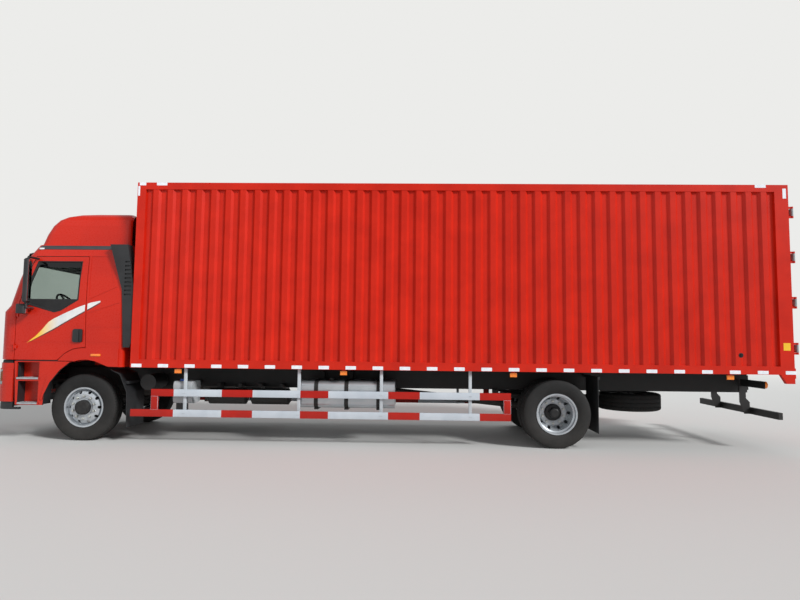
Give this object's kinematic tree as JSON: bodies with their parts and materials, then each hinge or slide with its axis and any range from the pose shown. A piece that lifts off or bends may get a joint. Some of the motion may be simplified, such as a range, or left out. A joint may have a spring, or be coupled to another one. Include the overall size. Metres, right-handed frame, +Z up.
{
  "type": "box truck, two axles, rigid, cab over engine",
  "caption": "Red rigid box truck with a tilting cab, roof deflector, long corrugated cargo body, striped side guards, steered front wheels and twin rear wheels.",
  "frame": {"origin": "on the road, in the middle of the truck's length and width, wheels straight, doors shut and cab down", "axes": "+X forward, +Y to the vehicle's left, +Z up"},
  "size_m": [11.98, 2.9666, 3.9149],
  "materials": {
    "painted_chassis": "satin black paint",
    "red_paint": "glossy red paint",
    "red_box_paint": "semi-gloss red paint on steel",
    "guard_paint": "red and white paint",
    "silver_wheel": "silver paint",
    "cast_metal": "dark cast metal",
    "rubber_black": "matte tyre rubber",
    "black_plastic": "grained black plastic",
    "grey_plastic": "grey plastic",
    "tank_metal": "bare aluminium",
    "silencer_metal": "dull coated steel",
    "clear_glass": "clear glass",
    "lamp_lens": "clear and coloured lamp lens",
    "smoked_plastic": "smoked visor",
    "seat_fabric": "woven seat cover",
    "dash_plastic": "soft grey plastic"
  },
  "bodies": {
    "chassis": {"chassis_frame": "painted_chassis", "leaf_springs": "painted_chassis", "front_axle": "painted_chassis", "rear_axle": "painted_chassis", "engine_block": "cast_metal", "driveline": "cast_metal", "fuel_tank": "tank_metal", "side_boxes": "grey_plastic", "air_tanks": "painted_chassis", "exhaust_silencer": "silencer_metal", "spare_rim": "painted_chassis", "spare_tyre": "rubber_black", "rear_underrun": "painted_chassis", "lamps": "lamp_lens", "side_guards": "guard_paint", "mudguards": "black_plastic", "front_bumper": "red_paint", "cab_steps": "red_paint", "box_floor": "painted_chassis", "box_wall_left": "red_box_paint", "box_wall_right": "red_box_paint", "box_front_wall": "red_box_paint", "box_roof": "red_box_paint", "box_rear_frame": "red_box_paint"},
    "cab": {"cab_shell": "red_paint", "windscreen": "clear_glass", "roof_deflector": "red_paint", "side_fairings": "black_plastic", "sun_visor": "smoked_plastic", "seats": "seat_fabric", "dashboard": "dash_plastic"},
    "cab_door_left": {"cab_door_left": "red_paint", "door_glass_left": "clear_glass", "door_handle_left": "black_plastic", "mirror_left": "black_plastic"},
    "cab_door_right": {"cab_door_right": "red_paint", "door_glass_right": "clear_glass", "door_handle_right": "black_plastic", "mirror_right": "black_plastic"},
    "grille_lid": {"grille_lid": "black_plastic"},
    "box_door_left": {"box_door_left": "red_box_paint"},
    "box_door_right": {"box_door_right": "red_box_paint"},
    "knuckle_left": {"knuckle_left": "cast_metal"},
    "knuckle_right": {"knuckle_right": "cast_metal"},
    "tie_rod": {"tie_rod": "painted_chassis"},
    "front_wheel_left": {"front_wheel_left": "silver_wheel", "front_tyre_left": "rubber_black"},
    "front_wheel_right": {"front_wheel_right": "silver_wheel", "front_tyre_right": "rubber_black"},
    "rear_wheels_left": {"rear_wheels_left": "silver_wheel", "rear_tyres_left": "rubber_black"},
    "rear_wheels_right": {"rear_wheels_right": "silver_wheel", "rear_tyres_right": "rubber_black"}
  },
  "joints": [
    {"name": "steer_left", "type": "hinge", "parent": "chassis", "child": "knuckle_left", "pos_m": [4.61, 0.83, 0.498], "axis": [0, 0, 1], "range_deg": [-35, 35]},
    {"name": "steer_right", "type": "hinge", "parent": "chassis", "child": "knuckle_right", "pos_m": [4.61, -0.83, 0.498], "axis": [0, 0, 1], "range_deg": [-35, 35]},
    {"name": "tie_rod_swing", "type": "hinge", "parent": "knuckle_left", "child": "tie_rod", "pos_m": [4.425, 0.83, 0.388], "axis": [0, 0, 1], "range_deg": [-35, 35]},
    {"name": "front_wheel_left_spin", "type": "hinge", "parent": "knuckle_left", "child": "front_wheel_left", "pos_m": [4.61, 0.975, 0.498], "axis": [0, 1, 0], "continuous": true},
    {"name": "front_wheel_right_spin", "type": "hinge", "parent": "knuckle_right", "child": "front_wheel_right", "pos_m": [4.61, -0.975, 0.498], "axis": [0, 1, 0], "continuous": true},
    {"name": "rear_wheels_left_spin", "type": "hinge", "parent": "chassis", "child": "rear_wheels_left", "pos_m": [-2.49, 0.93, 0.498], "axis": [0, 1, 0], "continuous": true},
    {"name": "rear_wheels_right_spin", "type": "hinge", "parent": "chassis", "child": "rear_wheels_right", "pos_m": [-2.49, -0.93, 0.498], "axis": [0, 1, 0], "continuous": true},
    {"name": "cab_tilt", "type": "hinge", "parent": "chassis", "child": "cab", "pos_m": [5.86, 0, 0.95], "axis": [0, 1, 0], "range_deg": [0, 50]},
    {"name": "cab_door_left_swing", "type": "hinge", "parent": "cab", "child": "cab_door_left", "pos_m": [5.627, 1.252, 2], "axis": [0, 0, -1], "range_deg": [0, 70]},
    {"name": "cab_door_right_swing", "type": "hinge", "parent": "cab", "child": "cab_door_right", "pos_m": [5.627, -1.252, 2], "axis": [0, 0, 1], "range_deg": [0, 70]},
    {"name": "grille_lid_lift", "type": "hinge", "parent": "cab", "child": "grille_lid", "pos_m": [5.975, 0, 1.938], "axis": [0, -1, 0], "range_deg": [0, 80]},
    {"name": "box_door_left_swing", "type": "hinge", "parent": "chassis", "child": "box_door_left", "pos_m": [-5.962, 1.26, 2.5], "axis": [0, 0, -1], "range_deg": [0, 270]},
    {"name": "box_door_right_swing", "type": "hinge", "parent": "chassis", "child": "box_door_right", "pos_m": [-5.962, -1.26, 2.5], "axis": [0, 0, 1], "range_deg": [0, 270]}
  ],
  "couplings": [
    {"joint": "steer_right", "follows": "steer_left", "ratio": 1},
    {"joint": "tie_rod_swing", "follows": "steer_left", "ratio": -1}
  ]
}
